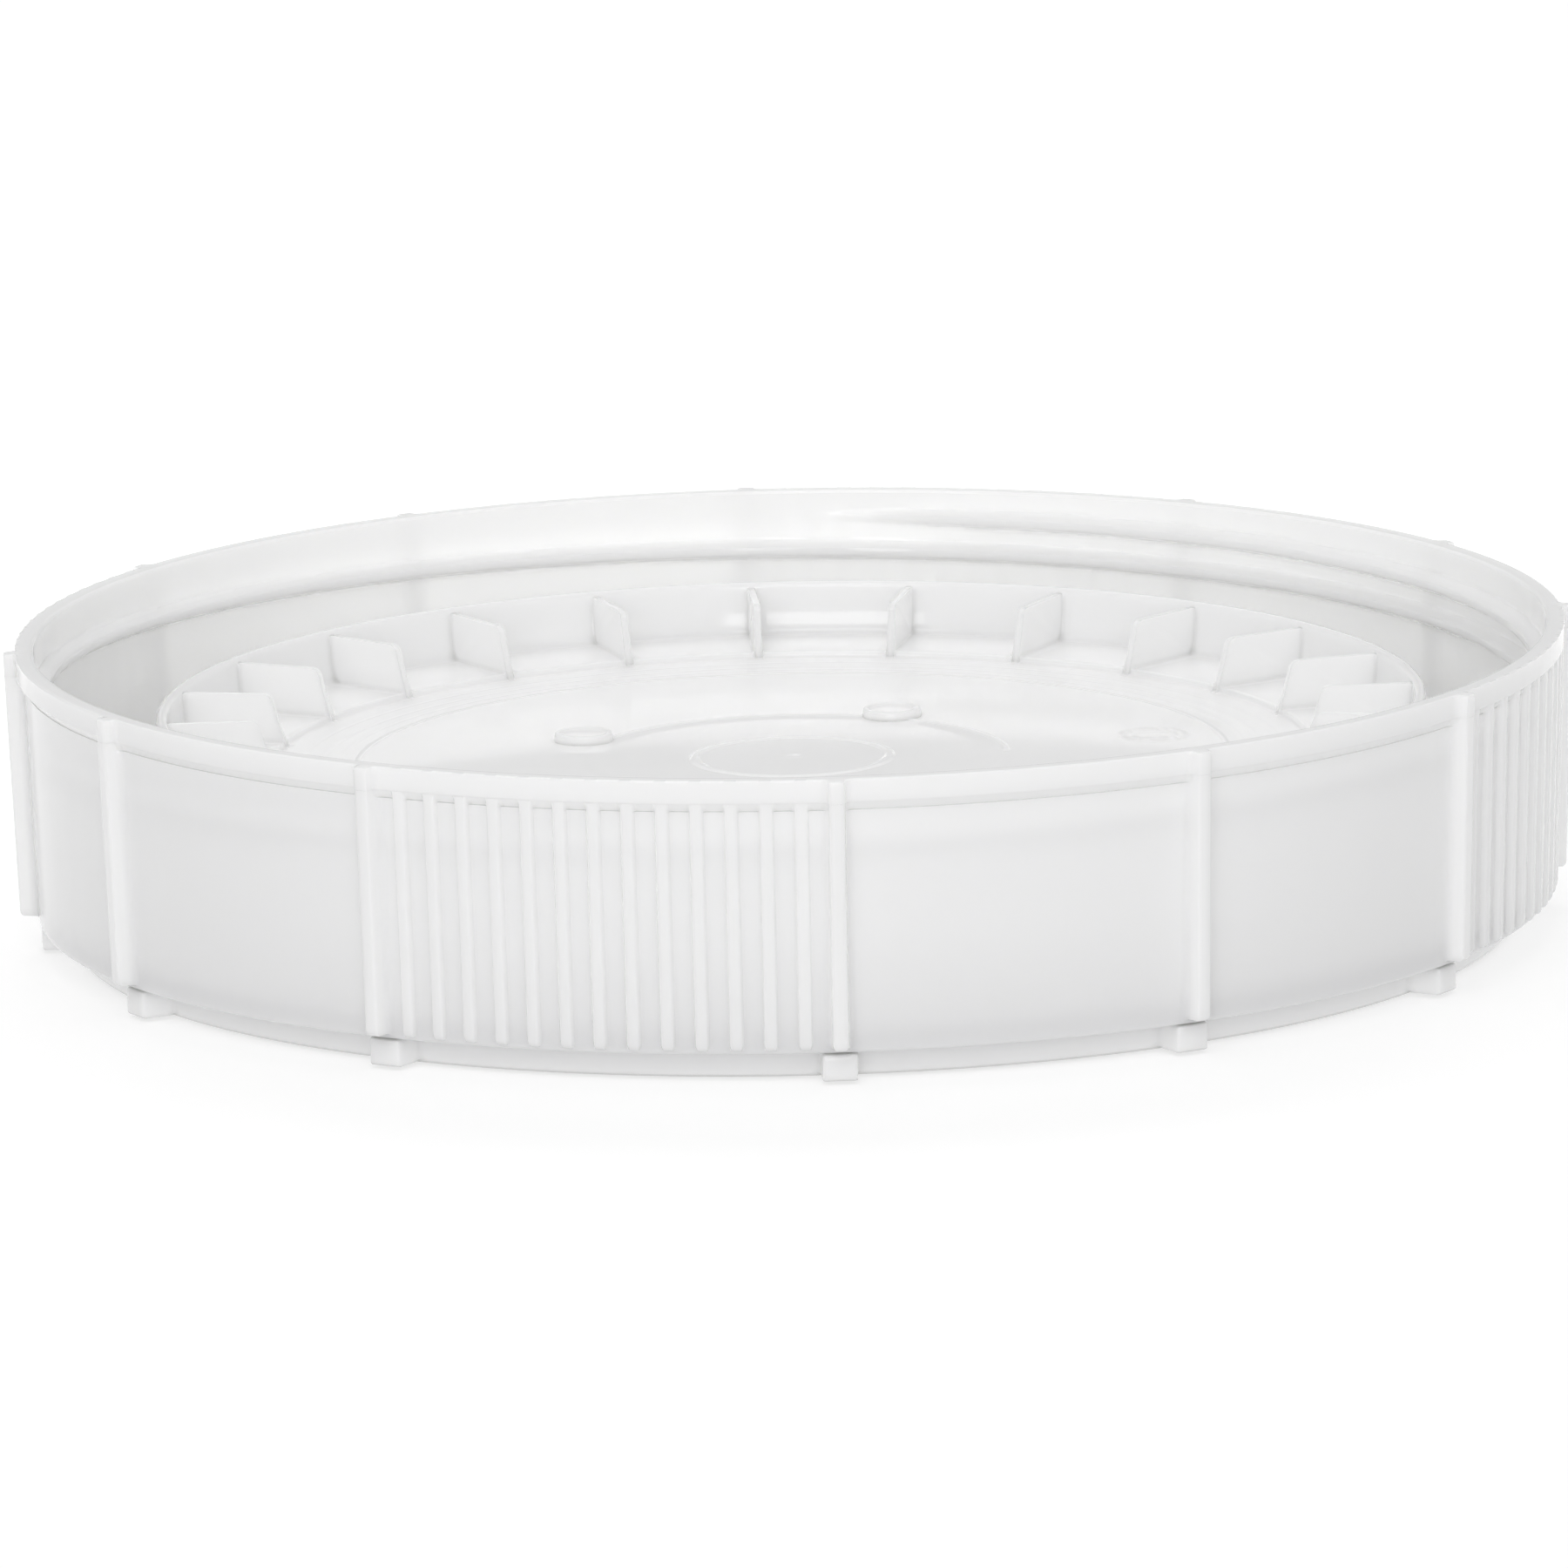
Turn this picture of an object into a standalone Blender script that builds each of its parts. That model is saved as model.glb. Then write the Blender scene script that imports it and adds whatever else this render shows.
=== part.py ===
"""Screw-on lid for a round wide-mouth pail, lying with its threaded mouth up.

The lid is one moulding in natural white plastic with a soft sealing gasket in it. The moulding is built as
three solids that meet at its web lines: the threaded skirt, the stacking deck and the plug. Units are
metres, +Z is up, and the origin is on the lid's axis in the plane that it rests on. Azimuth 0 is at -Y, and
90 degrees is at +X.
"""

import math

import bmesh
import bpy
from mathutils import Vector

MM = 0.001

# Driving dimensions
RIM_RADIUS = 160.0 * MM
HEIGHT = 62.5 * MM
WALL = 2.4 * MM
MESH_GAP = 0.3 * MM
SEGMENTS = 72

# Skirt: a drafted wall under a thicker rim band
RIM_BAND_HEIGHT = 4.8 * MM
RIM_BAND_STEP = 1.6 * MM
RIM_BAND_SLOPE = 1.7 * MM
RIM_FACE_WIDTH = 3.4 * MM
RIM_CHAMFER = 0.4 * MM
SKIRT_BOTTOM = 6.2 * MM
SKIRT_OUTER_FOOT = 156.5 * MM
SKIRT_CORNER = 0.8 * MM

# Ribs on the skirt: four grip zones of fine ribs between twelve large ribs
ZONES = 4
ZONE_START = 3.05
GRIP_ANGLE = 35.2
PANEL_ANGLE = (360.0 / ZONES - GRIP_ANGLE) / 2.0
FINE_RIBS = 13
FINE_RIB_WIDTH = 2.6 * MM
FINE_RIB_FOOT = 7.2 * MM
LARGE_RIB_WIDTH = 3.3 * MM
LARGE_RIB_PROUD = 2.2 * MM
LARGE_RIB_FOOT = 7.1 * MM
RIB_TOP_DROP = 0.2 * MM
RIB_ROOT = 1.2 * MM
RIB_NOSE = 1.2 * MM

# Internal two-start thread, right-handed
THREAD_STARTS = 2
THREAD_START_AZIMUTH = 178.0
THREAD_START_DROP = 5.6 * MM
THREAD_LEAD = 14.5 * MM
THREAD_SWEEP = 275.0
THREAD_RUN_IN = 20.0
THREAD_STEP = 5.0
THREAD_CREST_RADIUS = 152.9 * MM
THREAD_ROOT_HEIGHT = 4.6 * MM
THREAD_CREST_HEIGHT = 2.4 * MM

# Stacking deck: a shoulder, a ring that the lid lies on, and lugs in line with the large ribs
SHOULDER_TOP = 9.4 * MM
RING_RADIUS = 149.2 * MM
RING_DRAFT = 0.5 * MM
RING_CORNER = 0.7 * MM
CHANNEL_FLOOR = 2.4 * MM
DECK_INNER_RADIUS = 130.4 * MM
LUG_WIDTH = 7.1 * MM
LUG_OUTER_RADIUS = 156.0 * MM
LUG_BOTTOM = 0.3 * MM
LUG_CORNER = 0.5 * MM

# Plug: a round wall, a floor partway up it and gussets on the floor
PLUG_TOP = 47.7 * MM
PLUG_TOP_RADIUS = 131.1 * MM
PLUG_FOOT_RADIUS = 132.7 * MM
PLUG_WALL = 2.2 * MM
FLOOR_TOP = 35.5 * MM
FLOOR_BOTTOM = 33.1 * MM
LEDGE_TOP = 36.7 * MM
LEDGE_INNER_RADIUS = 107.6 * MM
FILLET = 1.4 * MM
DISH_RADIUS = 42.0 * MM
DISH_DEPTH = 0.5 * MM
GATE_RING_RADIUS = 20.4 * MM
GATE_RING_WIDTH = 1.6 * MM
GATE_RING_HEIGHT = 0.6 * MM
GUSSETS = 24
GUSSET_START = 3.5
GUSSET_THICKNESS = 1.6 * MM
GUSSET_TOP = 46.4 * MM
GUSSET_TOP_RADIUS = 110.0 * MM
GUSSET_FOOT_RADIUS = 107.2 * MM
GUSSET_CORNER = 1.8 * MM
PAD_RADIUS = 6.2 * MM
PAD_HEIGHT = 1.7 * MM
PADS = ((48.5 * MM, -117.0), (46.5 * MM, 153.0))

# Gasket: a flat ring with rounded edges, lying on the shoulder and narrow enough to lift out past the thread
GASKET_INNER_RADIUS = 147.0 * MM
GASKET_OUTER_RADIUS = 152.2 * MM
GASKET_THICKNESS = 3.0 * MM
GASKET_EDGE = 0.7 * MM

PLASTIC_COLOUR = (0.88, 0.88, 0.87, 1.0)
RUBBER_COLOUR = (0.80, 0.79, 0.75, 1.0)


def clear_scene():
    for obj in list(bpy.data.objects):
        bpy.data.objects.remove(obj, do_unlink=True)


def material(name, colour, roughness):
    made = bpy.data.materials.new(name)
    made.use_nodes = True
    shader = made.node_tree.nodes["Principled BSDF"]
    shader.inputs["Base Color"].default_value = colour
    shader.inputs["Roughness"].default_value = roughness
    shader.inputs["Metallic"].default_value = 0.0
    return made


def polar(radius, azimuth, height):
    angle = math.radians(azimuth)
    return Vector((radius * math.sin(angle), -radius * math.cos(angle), height))


def finish_mesh(name, bm, finish=None):
    """Turns a closed bmesh into an object with its faces pointing out."""
    bmesh.ops.recalc_face_normals(bm, faces=bm.faces)
    mesh = bpy.data.meshes.new(name)
    bm.to_mesh(mesh)
    bm.free()
    obj = bpy.data.objects.new(name, mesh)
    bpy.context.scene.collection.objects.link(obj)
    if finish:
        mesh.materials.append(finish)
        mesh.shade_smooth()
        mesh.set_sharp_from_angle(angle=math.radians(35.0))
    return obj


def arc(centre, radius, start, end, steps=3):
    """Points (radius, height) of a rounded corner in a turned profile, angles in degrees from outwards."""
    points = []
    for step in range(steps + 1):
        angle = math.radians(start + (end - start) * step / steps)
        points.append((centre[0] + radius * math.cos(angle), centre[1] + radius * math.sin(angle)))
    return points


def turn(name, profile, finish=None):
    """Turns a closed profile of (radius, height) points about Z. A point at radius 0 is on the axis."""
    bm = bmesh.new()
    rings = []
    for radius, height in profile:
        if radius == 0.0:
            rings.append([bm.verts.new((0.0, 0.0, height))])
            continue
        ring = [bm.verts.new(polar(radius, 360.0 * k / SEGMENTS, height)) for k in range(SEGMENTS)]
        rings.append(ring)
    for low, high in zip(rings, rings[1:] + rings[:1]):
        if len(low) == 1 and len(high) == 1:
            continue
        for k in range(SEGMENTS):
            after = (k + 1) % SEGMENTS
            corners = [low[k % len(low)], low[after % len(low)]]
            corners += [high[after % len(high)], high[k % len(high)]]
            bm.faces.new(list(dict.fromkeys(corners)))
    return finish_mesh(name, bm, finish)


def add_prism(bm, sections):
    """Adds a closed solid through equal rings of points, with flat ends."""
    rings = [[bm.verts.new(point) for point in section] for section in sections]
    for first, second in zip(rings, rings[1:]):
        for k in range(len(first)):
            after = (k + 1) % len(first)
            bm.faces.new((first[k], first[after], second[after], second[k]))
    bm.faces.new(rings[0])
    bm.faces.new(rings[-1])


def unite(target, tool):
    """Joins the tool's bodies into the target with an exact Boolean. The tool stays as a hidden guide."""
    tool.hide_render = True
    tool.display_type = "WIRE"
    join = target.modifiers.new("join " + tool.name, "BOOLEAN")
    join.operation = "UNION"
    join.solver = "EXACT"
    join.object = tool


def large_rib_azimuths():
    """Each zone has one rib at the end of its grip and one after each of its two plain panels."""
    return [
        ZONE_START + zone * 360.0 / ZONES + panel * PANEL_ANGLE
        for zone in range(ZONES)
        for panel in range(3)
    ]


def fine_rib_azimuths():
    pitch = GRIP_ANGLE / (FINE_RIBS + 1)
    return [
        ZONE_START + zone * 360.0 / ZONES - rib * pitch
        for zone in range(ZONES)
        for rib in range(1, FINE_RIBS + 1)
    ]


def skirt_outer_radius(height):
    """Radius of the drafted wall between the skirt's foot and the rim band."""
    top = RIM_RADIUS - RIM_BAND_STEP
    share = (height - SKIRT_BOTTOM) / (HEIGHT - RIM_BAND_HEIGHT - SKIRT_BOTTOM)
    return SKIRT_OUTER_FOOT + (top - SKIRT_OUTER_FOOT) * share


def skirt_inner_radius(height):
    foot = SKIRT_OUTER_FOOT - WALL
    top = RIM_RADIUS - RIM_FACE_WIDTH - RIM_CHAMFER
    share = (height - SKIRT_BOTTOM) / (HEIGHT - SKIRT_BOTTOM)
    return foot + (top - foot) * share


def rib_section(azimuth, width, root, outer, height):
    """A rib's outline at one height, with slightly slanted sides."""
    middle = math.radians(azimuth)
    outward = Vector((math.sin(middle), -math.cos(middle), 0.0))
    across = Vector((math.cos(middle), math.sin(middle), 0.0))
    up = Vector((0.0, 0.0, height))
    root_half = 0.54 * width
    nose_half = 0.46 * width
    return [
        outward * root - across * root_half + up,
        outward * outer - across * nose_half + up,
        outward * outer + across * nose_half + up,
        outward * root + across * root_half + up,
    ]


def add_rib(bm, azimuth, width, proud, foot, top):
    """A vertical rib that follows the wall's draft, with a rounded lower end."""
    sections = []
    rows = [(foot, RIB_NOSE), (foot + 0.4 * RIB_NOSE, 0.3 * RIB_NOSE), (foot + RIB_NOSE, 0.0), (top, 0.0)]
    for height, inset in rows:
        wall = skirt_outer_radius(height)
        sections.append(rib_section(azimuth, width, wall - RIB_ROOT, wall + proud - inset, height))
    add_prism(bm, sections)


def make_ribs():
    large = bmesh.new()
    for azimuth in large_rib_azimuths():
        proud = RIM_BAND_STEP + LARGE_RIB_PROUD
        add_rib(large, azimuth, LARGE_RIB_WIDTH, proud, LARGE_RIB_FOOT, HEIGHT - RIB_TOP_DROP)
    fine = bmesh.new()
    fine_top = HEIGHT - 0.5 * RIM_BAND_HEIGHT
    for azimuth in fine_rib_azimuths():
        add_rib(fine, azimuth, FINE_RIB_WIDTH, RIM_BAND_STEP - 0.2 * MM, FINE_RIB_FOOT, fine_top)
    return finish_mesh("large_ribs_guide", large), finish_mesh("fine_ribs_guide", fine)


def make_thread():
    """The thread's ridges: a trapezoid carried down a helix, sinking into the wall at both ends."""
    bm = bmesh.new()
    steps = round(THREAD_SWEEP / THREAD_STEP)
    for start in range(THREAD_STARTS):
        first = THREAD_START_AZIMUTH + start * 360.0 / THREAD_STARTS
        sections = []
        for step in range(steps + 1):
            turned = step * THREAD_STEP
            height = HEIGHT - THREAD_START_DROP - THREAD_LEAD * turned / 360.0
            run = min(turned, THREAD_SWEEP - turned) / THREAD_RUN_IN
            grown = math.sin(0.5 * math.pi * min(1.0, run))
            wall = skirt_inner_radius(height)
            crest = wall + 0.3 * MM + (THREAD_CREST_RADIUS - wall - 0.3 * MM) * grown
            root_half = 0.5 * THREAD_ROOT_HEIGHT * (0.35 + 0.65 * grown)
            crest_half = 0.5 * THREAD_CREST_HEIGHT * (0.35 + 0.65 * grown)
            azimuth = first - turned
            sections.append(
                [
                    polar(wall + 0.9 * MM, azimuth, height - root_half),
                    polar(crest, azimuth, height - crest_half),
                    polar(crest, azimuth, height + crest_half),
                    polar(wall + 0.9 * MM, azimuth, height + root_half),
                ]
            )
        add_prism(bm, sections)
    return finish_mesh("thread_guide", bm)


def make_skirt(finish):
    band_bottom = HEIGHT - RIM_BAND_HEIGHT
    inner_foot = SKIRT_OUTER_FOOT - WALL
    profile = [(RIM_RADIUS, HEIGHT), (RIM_RADIUS - 0.2 * MM, band_bottom)]
    profile.append((RIM_RADIUS - RIM_BAND_STEP, band_bottom - RIM_BAND_SLOPE))
    corner = (SKIRT_OUTER_FOOT - SKIRT_CORNER, SKIRT_BOTTOM + SKIRT_CORNER)
    profile += arc(corner, SKIRT_CORNER, 0.0, -90.0)
    profile.append((inner_foot, SKIRT_BOTTOM))
    profile.append((skirt_inner_radius(HEIGHT - RIM_CHAMFER), HEIGHT - RIM_CHAMFER))
    profile.append((RIM_RADIUS - RIM_FACE_WIDTH, HEIGHT))
    skirt = turn("threaded_skirt", profile, finish)
    large_ribs, fine_ribs = make_ribs()
    unite(skirt, large_ribs)
    unite(skirt, fine_ribs)
    unite(skirt, make_thread())
    return skirt


def make_lugs():
    bm = bmesh.new()
    inner = RING_RADIUS - 1.8 * MM
    top = SKIRT_BOTTOM - MESH_GAP
    for azimuth in large_rib_azimuths():
        sections = []
        for height, inset in ((LUG_BOTTOM, LUG_CORNER), (LUG_BOTTOM + LUG_CORNER, 0.0), (top, 0.0)):
            width = LUG_WIDTH - inset
            sections.append(rib_section(azimuth, width, inner, LUG_OUTER_RADIUS - inset, height))
        add_prism(bm, sections)
    return finish_mesh("lugs_guide", bm)


def make_deck(finish):
    """The shoulder under the skirt, stepped down to the ring that the lid lies on."""
    shoulder_edge = SKIRT_OUTER_FOOT - WALL - MESH_GAP
    ring_inner = RING_RADIUS - WALL
    profile = [(shoulder_edge, SHOULDER_TOP), (shoulder_edge, SKIRT_BOTTOM)]
    profile += [(RING_RADIUS + 0.8 * MM, SKIRT_BOTTOM)]
    profile.append((RING_RADIUS, SKIRT_BOTTOM - 0.8 * MM))
    corner = (RING_RADIUS - RING_DRAFT - RING_CORNER, RING_CORNER)
    profile += arc(corner, RING_CORNER, 0.0, -90.0)
    profile += arc((DECK_INNER_RADIUS + RING_CORNER, RING_CORNER), RING_CORNER, -90.0, -180.0)
    profile += [(DECK_INNER_RADIUS, CHANNEL_FLOOR), (ring_inner, CHANNEL_FLOOR), (ring_inner, SHOULDER_TOP)]
    deck = turn("stacking_deck", profile, finish)
    unite(deck, make_lugs())
    return deck


def make_gussets():
    """Thin plates between the plug's wall and its floor, with a rounded inner corner."""
    bm = bmesh.new()
    buried = 1.2 * MM
    outline = [(GUSSET_FOOT_RADIUS, LEDGE_TOP - buried - 0.5 * MM)]
    corner = (GUSSET_TOP_RADIUS + GUSSET_CORNER, GUSSET_TOP - GUSSET_CORNER)
    outline += arc(corner, GUSSET_CORNER, 180.0, 90.0)
    wall_inside = PLUG_TOP_RADIUS - PLUG_WALL + buried
    outline += [(wall_inside, GUSSET_TOP), (wall_inside, LEDGE_TOP - buried - 0.5 * MM)]
    for gusset in range(GUSSETS):
        azimuth = GUSSET_START + gusset * 360.0 / GUSSETS
        middle = math.radians(azimuth)
        across = Vector((math.cos(middle), math.sin(middle), 0.0)) * (0.5 * GUSSET_THICKNESS)
        plate = [polar(radius, azimuth, height) for radius, height in outline]
        add_prism(bm, [[point - across for point in plate], [point + across for point in plate]])
    return finish_mesh("gussets_guide", bm)


def make_pads():
    """Low round pads on the floor, with a small edge break on top."""
    bm = bmesh.new()
    for radius, azimuth in PADS:
        centre = polar(radius, azimuth, 0.0)
        sections = []
        top = FLOOR_TOP + PAD_HEIGHT
        rows = [(FLOOR_TOP - MM, 1.0), (top - 0.3 * MM, 1.0), (top, 0.94)]
        for height, size in rows:
            sections.append([centre + polar(size * PAD_RADIUS, 15.0 * k, height) for k in range(24)])
        add_prism(bm, sections)
    return finish_mesh("pads_guide", bm)


def make_plug(finish):
    foot = CHANNEL_FLOOR + MESH_GAP
    inner_top = PLUG_TOP_RADIUS - PLUG_WALL
    ledge_edge = inner_top - 1.2 * MM
    under_edge = PLUG_FOOT_RADIUS - PLUG_WALL - 1.0 * MM
    gate_inner = GATE_RING_RADIUS - 0.5 * GATE_RING_WIDTH
    gate_outer = GATE_RING_RADIUS + 0.5 * GATE_RING_WIDTH
    dish = FLOOR_TOP - DISH_DEPTH
    profile = [(0.0, dish), (gate_inner, dish), (gate_inner, dish + GATE_RING_HEIGHT)]
    profile += [(gate_outer, dish + GATE_RING_HEIGHT), (gate_outer, dish)]
    profile += [(DISH_RADIUS - 2.0 * MM, dish), (DISH_RADIUS, FLOOR_TOP)]
    profile += [(LEDGE_INNER_RADIUS - 0.8 * MM, FLOOR_TOP), (LEDGE_INNER_RADIUS, LEDGE_TOP)]
    profile += arc((ledge_edge - FILLET, LEDGE_TOP + FILLET), FILLET, -90.0, 0.0)
    half_wall = 0.5 * PLUG_WALL
    profile += arc((PLUG_TOP_RADIUS - half_wall, PLUG_TOP - half_wall), half_wall, 180.0, 0.0, 4)
    profile += [(PLUG_FOOT_RADIUS, foot), (PLUG_FOOT_RADIUS - PLUG_WALL, foot)]
    profile += arc((under_edge - FILLET, FLOOR_BOTTOM - FILLET), FILLET, 0.0, 90.0)
    profile.append((0.0, FLOOR_BOTTOM))
    plug = turn("plug_cup", profile, finish)
    unite(plug, make_gussets())
    unite(plug, make_pads())
    return plug


def make_gasket(finish):
    bottom = SHOULDER_TOP + MESH_GAP
    top = bottom + GASKET_THICKNESS
    outer = GASKET_OUTER_RADIUS - GASKET_EDGE
    inner = GASKET_INNER_RADIUS + GASKET_EDGE
    profile = arc((outer, top - GASKET_EDGE), GASKET_EDGE, 90.0, 0.0, 1)
    profile += arc((outer, bottom + GASKET_EDGE), GASKET_EDGE, 0.0, -90.0, 1)
    profile += arc((inner, bottom + GASKET_EDGE), GASKET_EDGE, -90.0, -180.0, 1)
    profile += arc((inner, top - GASKET_EDGE), GASKET_EDGE, 180.0, 90.0, 1)
    return turn("sealing_gasket", profile, finish)


def main():
    clear_scene()
    plastic = material("natural_plastic", PLASTIC_COLOUR, 0.28)
    rubber = material("gasket_rubber", RUBBER_COLOUR, 0.65)
    make_skirt(plastic)
    make_deck(plastic)
    make_plug(plastic)
    make_gasket(rubber)


main()
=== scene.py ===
"""Looks of the screw-on pail lid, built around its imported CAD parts.

The lid is one moulding of natural white polypropylene. It is shown as three skins that run into
each other where the material is continuous: the threaded skirt, the stacking deck and the plug,
each standing for its CAD node. The sealing gasket lies loose in the channel. Lengths are in
millimetres until the last step of a skin, azimuth 0 is at -Y and 90 degrees is at +X.
"""

import math

import bpy
import numpy as np
from mathutils import Matrix, Vector


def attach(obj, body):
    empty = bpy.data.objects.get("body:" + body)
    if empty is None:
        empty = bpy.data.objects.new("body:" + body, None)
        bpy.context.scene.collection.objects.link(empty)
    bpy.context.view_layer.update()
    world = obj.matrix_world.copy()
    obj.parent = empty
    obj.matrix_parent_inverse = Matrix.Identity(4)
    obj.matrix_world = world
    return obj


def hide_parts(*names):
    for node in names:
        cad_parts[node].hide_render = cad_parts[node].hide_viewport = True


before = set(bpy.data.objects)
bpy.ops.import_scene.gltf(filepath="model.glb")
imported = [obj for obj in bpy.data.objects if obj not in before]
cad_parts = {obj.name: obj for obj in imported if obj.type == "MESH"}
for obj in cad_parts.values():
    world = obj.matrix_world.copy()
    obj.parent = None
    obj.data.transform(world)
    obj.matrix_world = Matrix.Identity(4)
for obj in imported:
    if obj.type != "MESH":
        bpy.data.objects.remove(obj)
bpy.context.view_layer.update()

MM = 0.001
RIM_RADIUS = 160.0
HEIGHT = 62.5
SHARP_ANGLE = 38.0

# How many columns of points go round plain parts of the skins.
COLUMNS = 360
THREAD_COLUMNS = 480
UNDER_COLUMNS = 240
PAD_COLUMNS = 96

# Each quarter of the wall has three large ribs with two plain panels between them, then a grip
# of fine ribs.
ZONES = 4
ZONE_ANGLE = 90.0
ZONE_START = 3.05
LARGE_RIBS = 3
PANEL_ANGLE = 27.4
FINE_RIBS = 13
GRIP_ANGLE = 35.2


# ---------------------------------------------------------------- rings of points


class Skin:
    """A closed skin made of rings of points. Each ring goes once round the axis, from azimuth 0 on."""

    def __init__(self):
        self.points = []
        self.faces = []
        self.count = 0

    def ring(self, points):
        first = self.count
        self.points.append(np.asarray(points, dtype=float))
        self.count += len(points)
        return np.arange(first, self.count)

    def band(self, low, high):
        """Quads between two rings with the same columns."""
        quads = np.stack([low, np.roll(low, -1), np.roll(high, -1), high], axis=1)
        self.faces.extend(quads.tolist())

    def rings(self, rows):
        """Rings for rows of points, joined one to the next. Gives the first and the last ring."""
        made = [self.ring(row) for row in rows]
        for low, high in zip(made, made[1:]):
            self.band(low, high)
        return made[0], made[-1]

    def azimuths(self, ring):
        points = np.concatenate(self.points)[ring]
        return np.degrees(np.arctan2(points[:, 0], -points[:, 1])) % 360.0

    def lace(self, low, high):
        """Triangles between two rings whose columns differ."""
        low_turn = self.azimuths(low)
        high_turn = self.azimuths(high)
        low_turn = np.append(low_turn, low_turn[0] + 360.0)
        high_turn = np.append(high_turn, high_turn[0] + 360.0)
        low_count = len(low)
        high_count = len(high)
        i = 0
        j = 0
        while i < low_count or j < high_count:
            here = int(low[i % low_count])
            above = int(high[j % high_count])
            if j == high_count or (i < low_count and low_turn[i + 1] <= high_turn[j + 1]):
                self.faces.append([here, int(low[(i + 1) % low_count]), above])
                i += 1
            else:
                self.faces.append([here, int(high[(j + 1) % high_count]), above])
                j += 1

    def cap(self, ring, height, upward):
        """A fan from a ring to a point on the axis."""
        centre = int(self.ring([(0.0, 0.0, height)])[0])
        after = np.roll(ring, -1)
        for here, there in zip(ring.tolist(), after.tolist()):
            self.faces.append([here, there, centre] if upward else [there, here, centre])

    def build(self, name, material):
        mesh = bpy.data.meshes.new(name)
        points = np.concatenate(self.points) * MM
        mesh.from_pydata(points.tolist(), [], self.faces)
        mesh.validate()
        if material:
            mesh.materials.append(material)
        mesh.shade_smooth()
        mesh.set_sharp_from_angle(angle=math.radians(SHARP_ANGLE))
        obj = bpy.data.objects.new(name, mesh)
        bpy.context.scene.collection.objects.link(obj)
        return obj


def polar(azimuth, radius, height, across=0.0):
    """Points at a radius along an azimuth, moved sideways towards growing azimuth by a distance."""
    angle = np.radians(azimuth)
    x = radius * np.sin(angle) + across * np.cos(angle)
    y = across * np.sin(angle) - radius * np.cos(angle)
    return np.stack(np.broadcast_arrays(x, y, height), axis=-1)


def round_row(azimuth, radius, height, across):
    """Points on a true circle for columns given by an azimuth and a distance across it."""
    return polar(azimuth, np.sqrt(radius**2 - across**2), height, across)


def circle(columns, radius, height):
    return polar(columns, radius, height)


def even_columns(count):
    return np.arange(count) * 360.0 / count


def arc(centre, radius, start, end, steps):
    """Points (radius, height) of a rounded corner, angles in degrees from outwards."""
    angles = np.radians(np.linspace(start, end, steps + 1))
    return [(centre[0] + radius * math.cos(a), centre[1] + radius * math.sin(a)) for a in angles]


def smooth_step(x):
    x = np.clip(x, 0.0, 1.0)
    return x * x * (3.0 - 2.0 * x)


def near_line(away, half, fade):
    """One near a line or a point, falling smoothly to zero at half a width from it."""
    return smooth_step((half - away) / fade)


def zone_starts():
    return [ZONE_START + ZONE_ANGLE * zone for zone in range(ZONES)]


def large_rib_azimuths():
    return [start + PANEL_ANGLE * rib for start in zone_starts() for rib in range(LARGE_RIBS)]


def fine_rib_azimuths():
    pitch = GRIP_ANGLE / (FINE_RIBS + 1)
    return [start - pitch * rib for start in zone_starts() for rib in range(1, FINE_RIBS + 1)]


def mirrored(half):
    """A column list from its half: (across, value...) from the middle outwards."""
    return [(-column[0],) + tuple(column[1:]) for column in half[:0:-1]] + list(half)


def fill_gaps(columns, radius, step):
    """Adds plain columns (azimuth, 0, ...) where the given ones are more than a step apart, in degrees."""
    width = len(columns[0])
    turned = np.array([(c[0] + math.degrees(c[1] / radius)) % 360.0 for c in columns])
    order = np.argsort(turned)
    made = []
    for here, index in enumerate(order):
        start = turned[index]
        after = turned[order[(here + 1) % len(order)]]
        gap = (after - start) % 360.0
        made.append((start, columns[index]))
        parts = math.ceil(gap / step)
        for part in range(1, parts):
            azimuth = start + gap * part / parts
            made.append((azimuth % 360.0, (azimuth % 360.0,) + (0.0,) * (width - 1)))
    made.sort(key=lambda item: item[0])
    return np.array([column for _, column in made])


# ---------------------------------------------------------------- the threaded skirt

SKIRT_FOOT = 6.2
FOOT_RADIUS = 156.5
FOOT_CORNER = 0.7
FOOT_FLAT_INSIDE = 154.6
WALL = 2.4
BAND_BOTTOM = 57.7
BAND_STEP = 1.6
RIM_INSIDE = 156.2
RIM_CORNER_OUTSIDE = 0.45
RIM_CORNER_INSIDE = 0.55
# Radii between which the top of the rim is flat.
RIM_FLAT = (157.3, 159.0)

# The thread has two starts half a turn apart. Each begins below the rim and winds down towards
# falling azimuth, growing and fading over its run-in.
THREAD_STARTS = (178.0, 358.0)
THREAD_RUN_IN = 16.0
THREAD_DROP = 5.6
THREAD_LEAD = 14.5
THREAD_SWEEP = 275.0
THREAD_CREST = 152.9
THREAD_HALF_HEIGHT = 2.35
THREAD_END_SHARE = 0.3
THREAD_FLANK_SHARE = 0.68

# Ribs: how far they stand out of the wall, and their outlines from the top down to the wall.
LARGE_PROUD = 3.8
LARGE_HALF_TOP = 1.1
LARGE_EDGE = 0.42
LARGE_HALF_ROOT = 1.71
LARGE_FILLET = 1.7
LARGE_NOSE = 1.25
LARGE_TOP_START = 61.9
LARGE_TOP_FADE = 0.4
LARGE_TOP_DROP = 0.12
LARGE_TOP_SETBACK = 0.05
FINE_PROUD = 1.4
FINE_HALF_TOP = 0.68
FINE_EDGE = 0.55
FINE_HALF_ROOT = 1.38
FINE_FILLET = 0.55
FINE_NOSE = 1.0

# The lower end of the ribs, which is rounded and a little narrower.
RIB_FOOT = 7.1
RIB_FOOT_MARGIN = 0.04
RIB_FOOT_ROUND = 1.2
RIB_FOOT_TAPER = 0.22

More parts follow.
